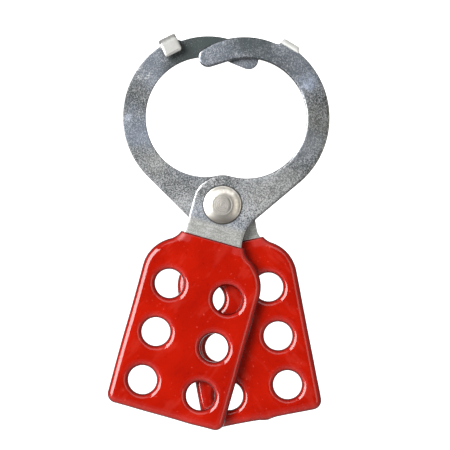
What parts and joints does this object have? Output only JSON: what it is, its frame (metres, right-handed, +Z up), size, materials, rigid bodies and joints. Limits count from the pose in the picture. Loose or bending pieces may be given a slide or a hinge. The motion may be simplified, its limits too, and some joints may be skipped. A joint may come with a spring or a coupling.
{
  "type": "lockout hasp",
  "caption": "Scissor lockout hasp: two riveted steel jaws closing in a ring, with red vinyl-coated handles pierced for padlocks.",
  "frame": {"origin": "centre of the 38.1 mm jaw circle as closed, on the parting plane between the two jaw plates", "axes": "+Z up along the hasp's mid-line from the rivet to the jaws, +Y through the plates away from the viewer, +X to the viewer's right"},
  "size_m": [0.0682, 0.0086, 0.1255],
  "materials": {
    "zinc_plate": "satin bluish zinc plating, mottled",
    "red_vinyl": "glossy dipped vinyl",
    "rivet_steel": "bright turned steel"
  },
  "bodies": {
    "rear_jaw": {"rear_jaw_plate": "zinc_plate", "rear_handle_coating": "red_vinyl", "pivot_rivet": "rivet_steel"},
    "front_jaw": {"front_jaw_plate": "zinc_plate", "front_handle_coating": "red_vinyl"}
  },
  "joints": [
    {"name": "jaw_pivot", "type": "hinge", "parent": "rear_jaw", "child": "front_jaw", "pos_m": [0, 0, -0.0285], "axis": [0, 1, 0], "range_deg": [-26.5, 119]}
  ]
}
